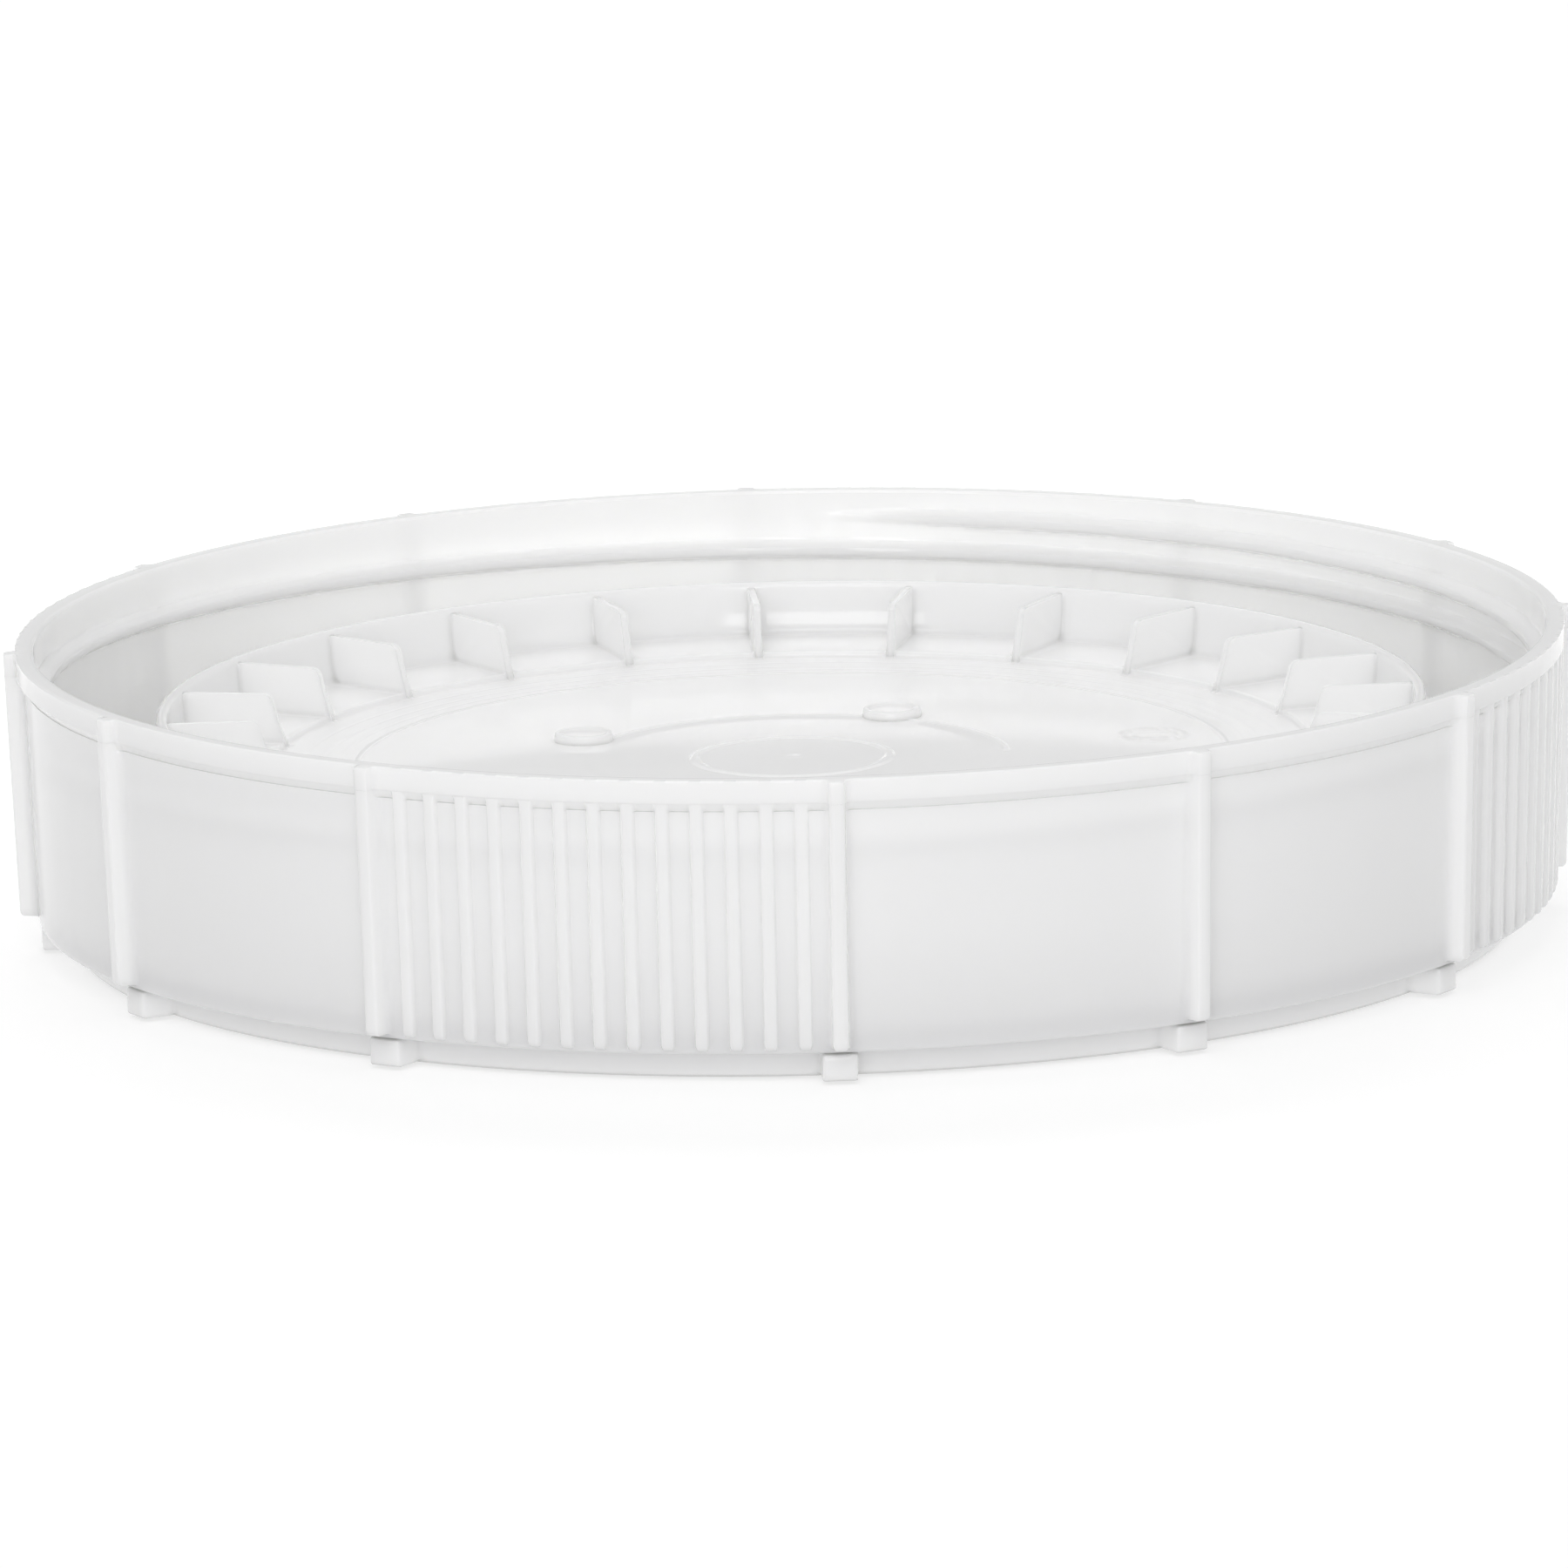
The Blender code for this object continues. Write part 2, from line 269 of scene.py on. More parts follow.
# Two small nubs on the rim band.
NUB_PROUD = 0.5
NUB_AZIMUTHS = (-97.0, 97.0)
NUB_HEIGHTS = (58.0, 62.2)
NUB_FADE = 0.8

# Kinds of columns round the skirt.
PLAIN = 0.0
LARGE = 1.0
FINE = 2.0
NUB = 3.0


def wall_outside(height):
    share = (height - SKIRT_FOOT) / (BAND_BOTTOM - SKIRT_FOOT)
    return FOOT_RADIUS + (RIM_RADIUS - BAND_STEP - FOOT_RADIUS) * share


def wall_inside(height):
    share = (height - SKIRT_FOOT) / (HEIGHT - SKIRT_FOOT)
    return FOOT_RADIUS - WALL + (RIM_INSIDE - FOOT_RADIUS + WALL) * share


def rib_edge(half_top, proud, radius, turns):
    """Points (across, proud) round the edge between a rib's top and its side."""
    middle = proud - radius
    return [(half_top + radius * math.sin(t), middle + radius * math.cos(t)) for t in turns]


def rib_fillet(half_root, radius, turns):
    """Points (across, proud) down the fillet between a rib's side and the wall."""
    return [(half_root + radius * (1.0 - math.cos(t)), radius * (1.0 - math.sin(t))) for t in turns]


def rib_columns():
    """Columns (azimuth, across, kind, proud) round the skirt, close together on the ribs' edges."""
    large = [(0.0, LARGE_PROUD), (0.7, LARGE_PROUD), (LARGE_HALF_TOP, LARGE_PROUD)]
    large += rib_edge(LARGE_HALF_TOP, LARGE_PROUD, LARGE_EDGE, (0.55, 1.1, 1.571))
    large += rib_fillet(LARGE_HALF_ROOT, LARGE_FILLET, (0.0, 0.35, 0.7, 1.05, 1.3, 1.571))
    fine = [(0.0, FINE_PROUD), (0.62, FINE_PROUD)]
    fine += rib_edge(FINE_HALF_TOP, FINE_PROUD, FINE_EDGE, (0.55, 1.05, 1.5))
    fine += rib_fillet(FINE_HALF_ROOT, FINE_FILLET, (0.1, 0.8, 1.571))
    nub = [(0.0, NUB_PROUD), (0.45, NUB_PROUD), (0.75, 0.3), (1.1, 0.0)]
    columns = []
    for kind, azimuths, half in (
        (LARGE, large_rib_azimuths(), large),
        (FINE, fine_rib_azimuths(), fine),
        (NUB, NUB_AZIMUTHS, nub),
    ):
        for azimuth in azimuths:
            columns += [(azimuth % 360.0, across, kind, proud) for across, proud in mirrored(half)]
    return fill_gaps(columns, RIM_RADIUS, step=1.2)


def skirt_rows():
    """Rows (radius, height) up the outside of the skirt and over its rim's outer edge."""
    rows = arc((FOOT_RADIUS - FOOT_CORNER, SKIRT_FOOT + FOOT_CORNER), FOOT_CORNER, -90.0, 0.0, 5)
    for height in (7.12, 7.25, 7.48, 7.82, 8.3, 8.9, 10.5, 15.0, 22.0, 31.0, 40.0, 48.0, 53.0, 55.5, 55.9):
        rows.append((wall_outside(height), height))
    rows += [(158.2, 56.0), (158.3, 56.12), (158.9, 56.85), (159.4, 57.5), (159.66, 57.8)]
    rows += arc((159.45, 58.05), 0.4, -45.0, 0.0, 2)
    rows += [(159.88, 59.2), (159.93, 60.6), (159.97, 61.9)]
    middle = (RIM_RADIUS - RIM_CORNER_OUTSIDE, HEIGHT - RIM_CORNER_OUTSIDE)
    return rows + arc(middle, RIM_CORNER_OUTSIDE, 10.0, 90.0, 4)


def rib_reach(kind, radius, height):
    """How far out a rib of this kind reaches at a row, as an absolute radius."""
    if kind == NUB:
        bottom, top = NUB_HEIGHTS
        shown = smooth_step((height - bottom) / NUB_FADE) * smooth_step((top - height) / NUB_FADE)
        return radius + NUB_PROUD * shown
    proud = LARGE_PROUD if kind == LARGE else FINE_PROUD
    nose = LARGE_NOSE if kind == LARGE else FINE_NOSE
    if height < RIB_FOOT + RIB_FOOT_MARGIN:
        return radius
    rise = min(1.0, (height - RIB_FOOT) / RIB_FOOT_ROUND)
    reach = wall_outside(height) + proud - nose * (1.0 - math.sqrt(1.0 - (1.0 - rise) ** 2))
    if kind == LARGE and height > LARGE_TOP_START:
        reach = wall_outside(HEIGHT) + proud - LARGE_TOP_SETBACK - (RIM_RADIUS - radius)
    return max(radius, reach)


def inner_wall_row(azimuth, height):
    """One row of the inner wall, with the two starts of the thread standing in from it."""
    radius = np.full(len(azimuth), wall_inside(height))
    for start in THREAD_STARTS:
        turned = (start - azimuth) % 360.0
        line = HEIGHT - THREAD_DROP - THREAD_LEAD * turned / 360.0
        grown = smooth_step(np.minimum(turned, THREAD_SWEEP - turned) / THREAD_RUN_IN)
        share = THREAD_END_SHARE + (1.0 - THREAD_END_SHARE) * np.sqrt(np.clip(grown, 0.0, 1.0))
        half = THREAD_HALF_HEIGHT * share
        bump = grown * near_line(np.abs(height - line), half, half * THREAD_FLANK_SHARE)
        radius -= bump * (wall_inside(height) - THREAD_CREST)
    return circle(azimuth, radius, height)


def make_skirt(material):
    skin = Skin()
    azimuth, across, kind, proud = rib_columns().T
    most = {PLAIN: 1.0, LARGE: LARGE_PROUD, FINE: FINE_PROUD, NUB: NUB_PROUD}
    share = proud / np.array([most[k] for k in kind])
    rows = []
    for radius, height in skirt_rows():
        reach = np.array([rib_reach(k, radius, height) if k else radius for k in kind])
        foot = smooth_step((RIB_FOOT + RIB_FOOT_ROUND - height) / RIB_FOOT_ROUND)
        sideways = across * (1.0 - RIB_FOOT_TAPER * foot * (kind > PLAIN) * (share > 0.0))
        out = np.sqrt(radius**2 - sideways**2) + share * (reach - radius)
        top = smooth_step((height - LARGE_TOP_START) / LARGE_TOP_FADE)
        drop = LARGE_TOP_DROP * share * (kind == LARGE) * top
        rows.append(polar(azimuth, out, height - drop, sideways))
    rows.append(round_row(azimuth, RIM_FLAT[1], HEIGHT, across))
    bottom, rim_outside = skin.rings(rows)

    inner = even_columns(THREAD_COLUMNS)
    heights = [61.9, 61.3, 60.7]
    heights += np.arange(60.3, 42.6, -0.38).tolist()
    heights += [41.5, 38.0, 33.0, 27.0, 21.0, 16.0, 12.0, 9.0, SKIRT_FOOT]
    edge = arc((156.85, HEIGHT - RIM_CORNER_INSIDE), RIM_CORNER_INSIDE, 90.0, 172.0, 4)
    rows = [circle(inner, RIM_FLAT[0], HEIGHT)]
    rows += [circle(inner, radius, height) for radius, height in edge]
    rows += [inner_wall_row(inner, height) for height in heights]
    rim_inside, foot_inside = skin.rings(rows)
    skin.lace(rim_outside, rim_inside)
    foot_flat = skin.ring(circle(inner, FOOT_FLAT_INSIDE, SKIRT_FOOT))
    skin.band(foot_inside, foot_flat)
    skin.lace(foot_flat, bottom)
    return skin.build("skirt_moulding", material)


# ---------------------------------------------------------------- the stacking deck

RING_RADIUS = 149.2
LUG_REACH = 156.0
WEB_BOTTOM = 6.26


def make_deck(material):
    """The ring that the lid lies on, its lugs, the channel's floor and the web out to the skirt."""
    skin = Skin()
    half = [(0.0, 1.0), (1.6, 1.0), (2.9, 1.0), (3.2, 0.99), (3.42, 0.955), (3.52, 0.88)]
    half += [(3.62, 0.17), (3.74, 0.08), (4.0, 0.025), (4.5, 0.0)]
    columns = []
    for centre in large_rib_azimuths():
        columns += [(centre % 360.0, across, share) for across, share in mirrored(half)]
    azimuth, across, lug = fill_gaps(columns, RING_RADIUS, step=1.5).T
    ring_and_lug = [
        ((148.0, 0.0), (148.0, 0.0)),
        ((148.3, 0.07), (148.3, 0.07)),
        ((148.52, 0.25), (148.52, 0.25)),
        ((148.66, 0.5), (149.0, 0.3)),
        ((148.7, 0.8), (155.3, 0.31)),
        ((148.72, 1.1), (155.66, 0.38)),
        ((148.76, 1.6), (155.88, 0.56)),
        ((148.8, 2.2), (155.98, 0.85)),
        ((148.88, 3.0), (LUG_REACH, 2.4)),
        ((148.98, 4.0), (LUG_REACH, 4.4)),
        ((149.06, 4.9), (155.96, 5.4)),
        ((149.14, 5.4), (155.75, 5.75)),
        ((149.28, 5.8), (155.3, 5.93)),
        ((149.6, 6.06), (154.6, 6.05)),
        ((150.1, 6.2), (153.4, 6.17)),
        ((150.8, 6.25), (152.0, 6.24)),
    ]
    rows = []
    for plain, lugged in ring_and_lug:
        radius = plain[0] + lug * (lugged[0] - plain[0])
        height = plain[1] + lug * (lugged[1] - plain[1])
        rows.append(polar(azimuth, np.sqrt(radius**2 - (1.0 - lug) * across**2), height, across))
    rows.append(round_row(azimuth, 153.2, WEB_BOTTOM, across))
    bottom, web = skin.rings(rows)
    profile = [(153.5, WEB_BOTTOM), (154.9, 6.5), (154.9, 9.9)]
    profile += [(154.35, 10.1), (154.05, 9.75), (153.7, 9.5), (153.2, 9.4), (150.0, 9.4), (147.4, 9.4)]
    profile += arc((147.15, 9.05), 0.35, 90.0, 180.0, 3)
    profile += [(146.85, 6.0), (146.95, 3.6)]
    profile += arc((145.9, 3.45), 1.05, 0.0, -90.0, 4)
    profile += [(140.0, 2.4), (134.6, 2.4), (131.6, 2.4), (130.6, 2.3), (130.45, 2.0)]
    profile += arc((131.7, 1.3), 1.3, 180.0, 270.0, 5)
    profile += [(135.0, 0.0), (141.0, 0.0), (147.0, 0.0)]
    even = even_columns(COLUMNS)
    first, last = skin.rings([circle(even, radius, height) for radius, height in profile])
    skin.lace(web, first)
    skin.lace(last, bottom)
    return skin.build("deck_moulding", material)


# ---------------------------------------------------------------- the plug

PLUG_TOP = 47.7
PLUG_RIM_MIDDLE = (130.02, 46.6)
PLUG_FLAT_RADIUS = 129.9
LEDGE_TOP = 36.7
FLOOR_TOP = 35.5
FLOOR_BOTTOM = 33.1
GATE_BOTTOM = 32.6
GUSSETS = 24
GUSSET_TOP = 46.4
GUSSET_START = 3.5
GUSSET_RADIUS = 120.0

# Radius and azimuth of each of the two pads, and of the round mark.
PADS = ((48.5, -117.0), (46.5, 153.0))
MARK = (76.5, 101.0)

PAD_RADIUS = 6.2
PAD_SUNK = 0.9
PAD_DISH = 1.32
MARK_RADII = (6.6, 4.4)
MARK_DEPTHS = (0.14, 0.1)
DISH_RADIUS = 44.0
DISH_DEPTH = 0.12
BEAD_RADIUS = 44.4
BEAD_HEIGHT = 0.16
BEAD_ENDS = (93.5, 241.0)
GATE_RADIUS = 20.2
GATE_HEIGHT = 0.1
GATE_RIDGE = 0.32
MOUND_RADIUS = 2.6
MOUND_HEIGHT = 0.06
GROOVE_RADIUS = 90.0
GROOVE_DEPTH = 0.16
SCRIBED_RADII = (93.8, 97.2, 101.6)
SCRIBED_DEPTH = 0.03


def gusset_rows():
    """Two matching outlines (radius, height): the plug's wall and floor, and a gusset's edge."""
    plain = [(128.95, 46.5), (128.93, 46.3), (128.9, 45.6), (128.8, 43.8), (128.6, 41.6), (128.3, 39.6)]
    plain += arc((126.4, 38.2), 1.5, -5.0, -90.0, 4)
    plain += [(radius, LEDGE_TOP) for radius in (124.5, 121.0, 117.5, 114.5, 112.0, 110.0, 108.6)]
    plain += [(107.9, 36.68), (107.6, 36.55), (107.45, 36.2), (107.3, 35.8), (107.0, 35.58)]
    plain += [(106.6, FLOOR_TOP)]
    fin = [(128.95, 46.5)]
    fin += [(radius, GUSSET_TOP) for radius in (128.7, 128.2, 126.0, 123.0, 120.0, 117.5, 115.4)]
    fin += [(radius, GUSSET_TOP) for radius in (113.8, 112.6, 111.85)]
    fin += arc((111.85, 44.55), 1.85, 100.0, 172.0, 5)
    fin += [(109.6, 43.2), (109.1, 41.4), (108.55, 39.5), (108.1, 37.9), (107.75, 36.7)]
    fin += [(107.35, 35.75), (106.6, FLOOR_TOP)]
    return plain, fin


def outline_normals(points, turn):
    points = np.array(points)
    along = np.gradient(points, axis=0)
    normal = np.stack([-along[:, 1], along[:, 0]], axis=1) * turn
    return normal / np.maximum(1e-9, np.linalg.norm(normal, axis=1))[:, None]


def bead_distance(x, y):
    """Distance from the middle line of the bead, which runs part of the way round and has round ends."""
    azimuth = np.degrees(np.arctan2(x, -y)) % 360.0
    along = (azimuth > BEAD_ENDS[0]) & (azimuth < BEAD_ENDS[1])
    ends = [polar(end, BEAD_RADIUS, 0.0) for end in BEAD_ENDS]
    to_end = np.minimum(*[np.hypot(x - end[0], y - end[1]) for end in ends])
    return np.where(along, np.abs(np.hypot(x, y) - BEAD_RADIUS), to_end)


def floor_height(x, y):
    """Height of the plug's floor.

    The floor has a very shallow dish, a bead, a ridge round the raised gate with a small mound in
    its middle, a groove, scribed circles and a round mark.
    """
    radius = np.hypot(x, y)
    height = FLOOR_TOP - DISH_DEPTH * near_line(radius, half=DISH_RADIUS, fade=4.0)
    height += BEAD_HEIGHT * near_line(bead_distance(x, y), half=0.95, fade=0.5)
    height += GATE_RIDGE * near_line(np.abs(radius - GATE_RADIUS), half=1.25, fade=0.8)
    height += GATE_HEIGHT * near_line(radius, half=GATE_RADIUS, fade=1.2)
    height += MOUND_HEIGHT * near_line(radius, half=MOUND_RADIUS, fade=2.0)
    height -= GROOVE_DEPTH * near_line(np.abs(radius - GROOVE_RADIUS), half=0.75, fade=0.5)
    for line in SCRIBED_RADII:
        height -= SCRIBED_DEPTH * near_line(np.abs(radius - line), half=0.6, fade=0.5)
    middle = polar(MARK[1], MARK[0], 0.0)
    away = np.hypot(x - middle[0], y - middle[1])
    height -= MARK_DEPTHS[0] * near_line(np.abs(away - MARK_RADII[0]), half=0.6, fade=0.5)
    height -= MARK_DEPTHS[1] * near_line(np.abs(away - MARK_RADII[1]), half=0.55, fade=0.45)
    return height


def floor_radii():
    """Radii of the floor's rings of points, closest together where the floor has relief."""
    radii = [105.8, 104.0]
    for line in SCRIBED_RADII[::-1]:
        radii += [line + away for away in (0.8, 0.55, 0.35, 0.15, -0.15, -0.35, -0.55, -0.8)]
    radii += np.arange(91.4, 88.5, -0.22).tolist()
    radii += [87.4, 85.6]
    radii += np.arange(84.2, 68.8, -0.45).tolist()
    radii += [67.0, 63.0, 59.0, 55.0, 51.0, 48.5, 46.6]
    radii += np.arange(45.9, 42.8, -0.22).tolist()
    radii += [42.2, 41.3, 40.4, 39.5, 36.0, 32.0, 28.0, 24.5, 23.0]
    radii += np.arange(22.1, 18.2, -0.22).tolist()
    return radii + [17.0, 14.0, 11.0, 8.0, 6.0, 4.5, 3.4, 2.6, 2.1, 1.6, 1.1, 0.6]


def make_pad(radius, azimuth):
    """A closed puck with a rounded edge and a slightly dished top, sunk into the floor."""
    skin = Skin()
    profile = [(PAD_RADIUS, -PAD_SUNK), (PAD_RADIUS, -0.05), (6.12, 0.9), (6.02, 1.25)]
    profile += arc((5.62, 1.28), 0.4, 10.0, 90.0, 4)
    profile += [(5.2, 1.68), (4.85, 1.6), (4.5, 1.44), (4.1, 1.36), (3.0, 1.33), (1.5, PAD_DISH)]
    even = even_columns(PAD_COLUMNS)
    first, last = skin.rings([circle(even, out, FLOOR_TOP + up) for out, up in profile])
    skin.cap(first, FLOOR_TOP - PAD_SUNK, False)
    skin.cap(last, FLOOR_TOP + PAD_DISH, True)
    skin.points = [points + polar(azimuth, radius, 0.0) for points in skin.points]
    return skin.build("pad", None)


def unite(target, tools):
    """Joins closed tools into the target's own mesh."""
    for tool in tools:
        join = target.modifiers.new(tool.name, "BOOLEAN")
        join.operation = "UNION"
        join.solver = "EXACT"
        join.object = tool
    whole = target.evaluated_get(bpy.context.evaluated_depsgraph_get())
    target.data = bpy.data.meshes.new_from_object(whole)
    target.modifiers.clear()
    target.data.shade_smooth()
    target.data.set_sharp_from_angle(angle=math.radians(SHARP_ANGLE))
    for tool in tools:
        bpy.data.objects.remove(tool, do_unlink=True)


def make_plug(material):
    skin = Skin()
    even = even_columns(COLUMNS)
    foot_rows = [(130.6, 1.2), (132.5, 1.2), (132.68, 2.4), (132.66, 3.4), (132.5, 8.0), (132.2, 17.0)]
    foot_rows += [(131.85, 27.0), (131.5, 37.0), (131.2, 44.0), (131.12, 46.5)]
    foot_rows += arc(PLUG_RIM_MIDDLE, 1.1, 0.0, 90.0, 5)
    foot, top_outside = skin.rings([circle(even, radius, height) for radius, height in foot_rows])

    # Half of a gusset: distance across, 1 on the gusset's edge or 0 at its root, and inset.
    half = [(0.0, 1.0, 0.0), (0.45, 1.0, 0.0), (0.66, 1.0, 0.06), (0.78, 1.0, 0.26)]
    half += [(0.84, 0.0, 0.5), (1.0, 0.0, 0.18), (1.4, 0.0, 0.0)]
    columns = []
    for gusset in range(GUSSETS):
        centre = (GUSSET_START + 360.0 / GUSSETS * gusset) % 360.0
        columns += [(centre, across, edge, inset) for across, edge, inset in mirrored(half)]
    azimuth, across, on_edge, inset = fill_gaps(columns, GUSSET_RADIUS, step=1.15).T
    edge_inset = inset[:, None]
    root_inset = (inset * (1.0 - on_edge))[:, None]
    plain, fin = gusset_rows()
    plain_normal = outline_normals(plain, -1.0)
    fin_normal = outline_normals(fin, 1.0)
    rows = [round_row(azimuth, PLUG_FLAT_RADIUS, PLUG_TOP, across)]
    for radius, height in arc(PLUG_RIM_MIDDLE, 1.07, 110.0, 172.0, 3):
        rows.append(round_row(azimuth, radius, height, across))
    count = len(plain)
    for row in range(count):
        fade = min(1.0, row / 2.0, (count - 1 - row) / 2.0)
        base = np.array(plain[row])
        edge = np.array(fin[row])
        out_base = base + plain_normal[row] * (root_inset * fade)
        out_edge = edge - fin_normal[row] * (edge_inset * fade)
        place = np.where(on_edge[:, None] > 0.5, out_edge, out_base)
        rows.append(round_row(azimuth, place[:, 0], place[:, 1], across))
    top_inside, floor_edge = skin.rings(rows)
    skin.lace(top_outside, top_inside)

    rows = []
    for radius in floor_radii():
        flat = circle(even, radius, 0.0)
        flat[:, 2] = floor_height(flat[:, 0], flat[:, 1])
        rows.append(flat)
    floor_start, floor_end = skin.rings(rows)
    skin.lace(floor_edge, floor_start)
    skin.cap(floor_end, float(floor_height(0.0, 0.0)), True)

    under = [(0.5, GATE_BOTTOM), (1.4, GATE_BOTTOM), (1.7, 32.7), (1.8, 32.95)]
    under += [(radius, FLOOR_BOTTOM) for radius in (2.4, 6.0, 8.4)]
    under += [(8.8, 33.3), (9.3, 33.35), (9.8, 33.3)]
    under += [(radius, FLOOR_BOTTOM) for radius in (10.2, 20.0, 45.0, 80.0, 105.0, 118.0)]
    under += arc((126.5, 31.0), 2.1, 90.0, 5.0, 6)
    under += [(128.9, 28.0), (129.3, 20.0), (129.8, 10.0), (130.3, 3.0), (130.45, 1.6)]
    wide = even_columns(UNDER_COLUMNS)
    under_start, under_end = skin.rings([circle(wide, radius, height) for radius, height in under])
    skin.cap(under_start, GATE_BOTTOM, False)
    skin.lace(under_end, foot)
    plug = skin.build("plug_moulding", material)
    unite(plug, [make_pad(*pad) for pad in PADS])
    return plug


# ---------------------------------------------------------------- the sealing gasket

GASKET_EDGE = 0.72
# Middles of the rounded edges, inside and outside, below and above.
GASKET_RADII = (147.75, 151.45)
GASKET_HEIGHTS = (10.45, 11.95)
GASKET_GROOVES = (150.7, 149.6, 148.5)


def make_gasket(material):
    """A flat ring with rounded edges and three shallow sealing grooves on its upper face."""
    inside, outside = GASKET_RADII
    low, high = GASKET_HEIGHTS
    profile = arc((outside, low), GASKET_EDGE, -90.0, 0.0, 4)
    profile += arc((outside, high), GASKET_EDGE, 0.0, 90.0, 4)
    for middle in GASKET_GROOVES:
        for away, height in ((0.35, 12.66), (0.18, 12.5), (0.0, 12.42), (-0.18, 12.5), (-0.35, 12.66)):
            profile.append((middle + away, height))
    profile += arc((inside, high), GASKET_EDGE, 90.0, 180.0, 4)
    profile += arc((inside, low), GASKET_EDGE, 180.0, 270.0, 4)
    skin = Skin()
    even = even_columns(COLUMNS)
    first, last = skin.rings([circle(even, radius, height) for radius, height in profile])
    skin.band(last, first)
    return skin.build("gasket_ring", material)


# ---------------------------------------------------------------- materials


def new_material(name):
    """A material with nodes. Gives it with its nodes, its links and its Principled shader."""
    material = bpy.data.materials.new(name)
    material.use_nodes = True
    nodes = material.node_tree.nodes
    shader = next(node for node in nodes if node.type == "BSDF_PRINCIPLED")
    return material, nodes, material.node_tree.links, shader


def noise(nodes, links, vector, scale, detail):
    node = nodes.new("ShaderNodeTexNoise")
    node.inputs["Scale"].default_value = scale
    node.inputs["Detail"].default_value = detail
    node.inputs["Roughness"].default_value = 0.5
    links.new(vector, node.inputs["Vector"])
    return node.outputs["Fac"]


def ramp(nodes, links, value, low, high, start=0.3, end=0.7):
    """Turns a value from start to end into one from low to high, smoothly and without going past."""
    node = nodes.new("ShaderNodeMapRange")
    node.interpolation_type = "SMOOTHSTEP"
    node.inputs["From Min"].default_value = start
    node.inputs["From Max"].default_value = end
    node.inputs["To Min"].default_value = low
    node.inputs["To Max"].default_value = high
    links.new(value, node.inputs["Value"])
    return node.outputs["Result"]


def colour_mix(nodes, low):
    """A mix that starts at a colour. Its other colour and its factor are still to be given."""
    mix = nodes.new("ShaderNodeMix")
    mix.data_type = "RGBA"
    mix.inputs["A"].default_value = low
    return mix


def add_bump(nodes, links, shader, height, strength, distance):
    bump = nodes.new("ShaderNodeBump")
    bump.inputs["Strength"].default_value = strength
    bump.inputs["Distance"].default_value = distance
    links.new(height, bump.inputs["Height"])
    links.new(bump.outputs["Normal"], shader.inputs["Normal"])


def natural_plastic():
    """Natural white polypropylene.

    It is glossy and slightly translucent, with faint flow marks and a fine moulded skin. Its colour is
    darkened deep in its creases by painted shade taken from ambient occlusion.
    """
    material, nodes, links, shader = new_material("natural_plastic_look")
    place = nodes.new("ShaderNodeTexCoord").outputs["Object"]
    cloud = noise(nodes, links, place, 9.0, 3.0)
    streak_map = nodes.new("ShaderNodeMapping")
    streak_map.inputs["Scale"].default_value = (30.0, 30.0, 160.0)
    links.new(place, streak_map.inputs["Vector"])
    streak = noise(nodes, links, streak_map.outputs["Vector"], 1.0, 4.0)
    mix = colour_mix(nodes, (0.95, 0.95, 0.948, 1.0))
    mix.inputs["B"].default_value = (0.975, 0.975, 0.975, 1.0)
    links.new(ramp(nodes, links, cloud, 0.0, 1.0), mix.inputs["Factor"])
    # Painted shade: the colour is darkened towards grey where ambient occlusion finds surfaces close by,
    # in creases and under overhangs.
    shade_occlusion = nodes.new("ShaderNodeAmbientOcclusion")
    shade_occlusion.samples = 8
    shade_occlusion.inputs["Distance"].default_value = 0.0022
    painted_shade = colour_mix(nodes, (0.6, 0.6, 0.595, 1.0))
    links.new(mix.outputs["Result"], painted_shade.inputs["B"])
    links.new(ramp(nodes, links, shade_occlusion.outputs["AO"], 0.0, 1.0, 0.3, 0.9), painted_shade.inputs["Factor"])
    links.new(painted_shade.outputs["Result"], shader.inputs["Base Color"])
    links.new(ramp(nodes, links, streak, 0.05, 0.1), shader.inputs["Roughness"])
    grain = noise(nodes, links, place, 1400.0, 2.0)
    wave = noise(nodes, links, place, 45.0, 1.0)
    blend = nodes.new("ShaderNodeMath")
    blend.operation = "MULTIPLY_ADD"
    blend.inputs[1].default_value = 0.04
    links.new(grain, blend.inputs[0])
    links.new(wave, blend.inputs[2])
    add_bump(nodes, links, shader, blend.outputs["Value"], 0.12, 0.0003)
    shader.inputs["IOR"].default_value = 1.49
    shader.inputs["Subsurface Weight"].default_value = 0.9
    shader.inputs["Subsurface Radius"].default_value = (1.0, 1.0, 0.96)
    shader.inputs["Subsurface Scale"].default_value = 0.007
    return material


def gasket_rubber():
    """Matt greyish white rubber, a little cloudy and grainy."""
    material, nodes, links, shader = new_material("gasket_rubber_look")
    place = nodes.new("ShaderNodeTexCoord").outputs["Object"]
    cloud = noise(nodes, links, place, 60.0, 3.0)
    mix = colour_mix(nodes, (0.66, 0.65, 0.6, 1.0))
    mix.inputs["B"].default_value = (0.74, 0.73, 0.68, 1.0)
    links.new(ramp(nodes, links, cloud, 0.0, 1.0), mix.inputs["Factor"])
    links.new(mix.outputs["Result"], shader.inputs["Base Color"])
    grain = noise(nodes, links, place, 2600.0, 2.0)
    links.new(ramp(nodes, links, grain, 0.55, 0.72), shader.inputs["Roughness"])
    add_bump(nodes, links, shader, grain, 0.3, 0.0001)
    return material


# ---------------------------------------------------------------- stage, lights and camera

# The stage is a round floor. Its radius and its depth under the lid are in metres.
STAGE_RADIUS = 4.0
STAGE_SIDES = 96
STAGE_DEPTH = 0.0004


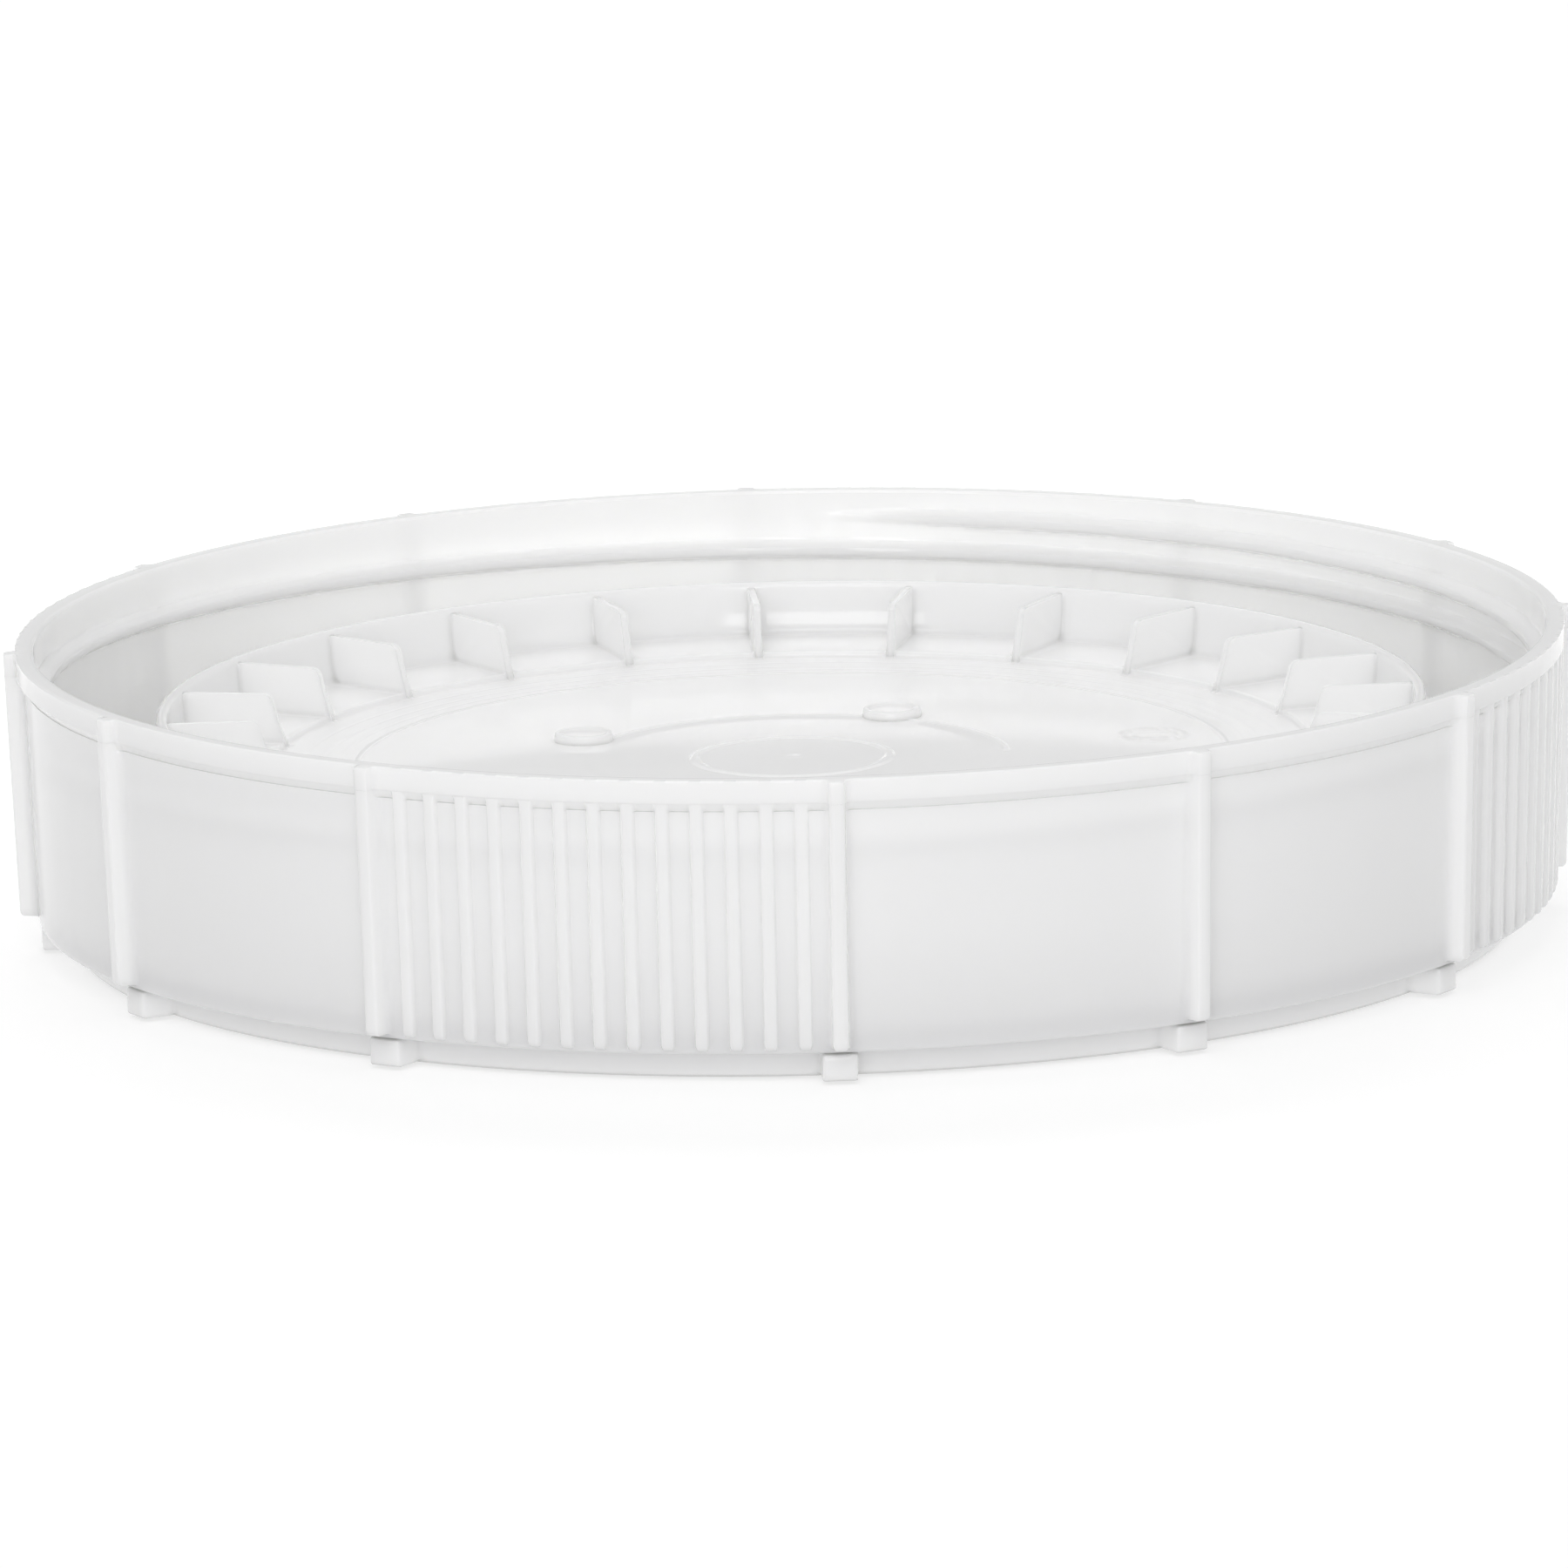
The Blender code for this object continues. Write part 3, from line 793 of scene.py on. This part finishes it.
def make_floor():
    angles = np.linspace(0, 2 * math.pi, STAGE_SIDES + 1)[:-1]
    points = [(STAGE_RADIUS * math.cos(a), STAGE_RADIUS * math.sin(a), -STAGE_DEPTH) for a in angles]
    mesh = bpy.data.meshes.new("floor")
    mesh.from_pydata(points, [], [list(range(STAGE_SIDES))])
    floor = bpy.data.objects.new("floor", mesh)
    bpy.context.scene.collection.objects.link(floor)
    material, _, _, shader = new_material("pale_floor")
    shader.inputs["Base Color"].default_value = (0.5, 0.5, 0.5, 1.0)
    shader.inputs["Roughness"].default_value = 0.9
    shader.inputs["Specular IOR Level"].default_value = 0.2
    shader.inputs["Emission Color"].default_value = (1.0, 1.0, 1.0, 1.0)
    shader.inputs["Emission Strength"].default_value = 0.55
    mesh.materials.append(material)
    floor.visible_diffuse = False


def area_light(name, place, target, size, power, mirrored_in_gloss=True):
    data = bpy.data.lights.new(name, "AREA")
    data.shape = "RECTANGLE"
    data.size = size[0]
    data.size_y = size[1]
    data.energy = power
    light = bpy.data.objects.new(name, data)
    bpy.context.scene.collection.objects.link(light)
    light.location = place
    light.rotation_euler = (Vector(target) - Vector(place)).to_track_quat("-Z", "Y").to_euler()
    light.visible_camera = False
    light.visible_glossy = mirrored_in_gloss


def make_light():
    """A pale sky, brighter overhead and below the horizon, and softboxes in front and behind.

    Three low strips stand close behind the lid, and their light shines through its rear wall.
    """
    world = bpy.data.worlds.new("studio")
    world.use_nodes = True
    nodes = world.node_tree.nodes
    links = world.node_tree.links
    background = next(node for node in nodes if node.type == "BACKGROUND")
    towards = nodes.new("ShaderNodeSeparateXYZ")
    links.new(nodes.new("ShaderNodeTexCoord").outputs["Generated"], towards.inputs["Vector"])
    strength = nodes.new("ShaderNodeMath")
    strength.operation = "ADD"
    links.new(ramp(nodes, links, towards.outputs["Z"], 0.54, 0.67, 0.2, 0.9), strength.inputs[0])
    links.new(ramp(nodes, links, towards.outputs["Z"], 0.2, 0.0, -0.08, 0.02), strength.inputs[1])
    links.new(strength.outputs["Value"], background.inputs["Strength"])
    background.inputs["Color"].default_value = (1.0, 1.0, 1.0, 1.0)
    bpy.context.scene.world = world
    area_light("high_front", (-0.4, -1.5, 1.7), (0.0, 0.0, 0.03), (1.2, 0.9), 7.5)
    area_light("low_front", (-0.25, -2.4, 0.4), (0.0, 0.0, 0.03), (1.6, 0.8), 11.5)
    area_light("front_right", (1.6, -1.9, 0.4), (0.0, 0.0, 0.03), (1.2, 0.8), 2.0)
    area_light("back", (0.04, 0.55, 0.034), (0.0, 0.16, 0.034), (0.9, 0.05), 0.6, False)
    area_light("back_left", (-0.35, 0.46, 0.034), (-0.1, 0.12, 0.034), (0.4, 0.05), 0.75, False)
    area_light("back_right", (0.36, 0.44, 0.034), (0.1, 0.12, 0.034), (0.4, 0.05), 0.6, False)
    area_light("high_back", (0.0, 1.3, 1.5), (0.0, 0.1, 0.03), (1.6, 0.6), 9.0, False)


CAMERA_ELEVATION = 11.36
CAMERA_ROLL = -1.225
CAMERA_LENS = 426.912
# The camera's place, in rim radii from the middle of the rim: back, right and up.
CAMERA_BACK = 24.0
CAMERA_RIGHT = -0.0111
CAMERA_UP = -0.2011


def make_camera():
    """The camera looks down at the rim, with a long lens and a slight roll."""
    distance = CAMERA_BACK * RIM_RADIUS * MM
    elevation = math.radians(CAMERA_ELEVATION)
    roll = math.radians(CAMERA_ROLL)
    back = Vector((0.0, -math.cos(elevation), math.sin(elevation)))
    right = (-back).cross(Vector((0.0, 0.0, 1.0))).normalized()
    up = right.cross(-back)
    rolled_right = right * math.cos(roll) + up * math.sin(roll)
    rolled_up = up * math.cos(roll) - right * math.sin(roll)
    data = bpy.data.cameras.new("camera")
    data.sensor_width = 36.0
    data.lens = CAMERA_LENS
    data.clip_end = 50.0
    camera = bpy.data.objects.new("camera", data)
    bpy.context.scene.collection.objects.link(camera)
    turned = Matrix((rolled_right, rolled_up, back)).transposed().to_4x4()
    place = Vector((0.0, 0.0, HEIGHT * MM)) + back * distance
    place += right * (CAMERA_RIGHT * RIM_RADIUS * MM) + up * (CAMERA_UP * RIM_RADIUS * MM)
    camera.matrix_world = Matrix.Translation(place) @ turned
    bpy.context.scene.camera = camera


# ---------------------------------------------------------------- everything together

plastic = natural_plastic()
for node, body, make in (
    ("threaded_skirt", "lid", make_skirt),
    ("stacking_deck", "lid", make_deck),
    ("plug_cup", "lid", make_plug),
):
    piece = make(plastic)
    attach(piece, body)
    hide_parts(node)
gasket = make_gasket(gasket_rubber())
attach(gasket, "gasket")
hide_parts("sealing_gasket")

make_floor()
make_light()
make_camera()
bpy.context.scene.view_settings.view_transform = "Standard"
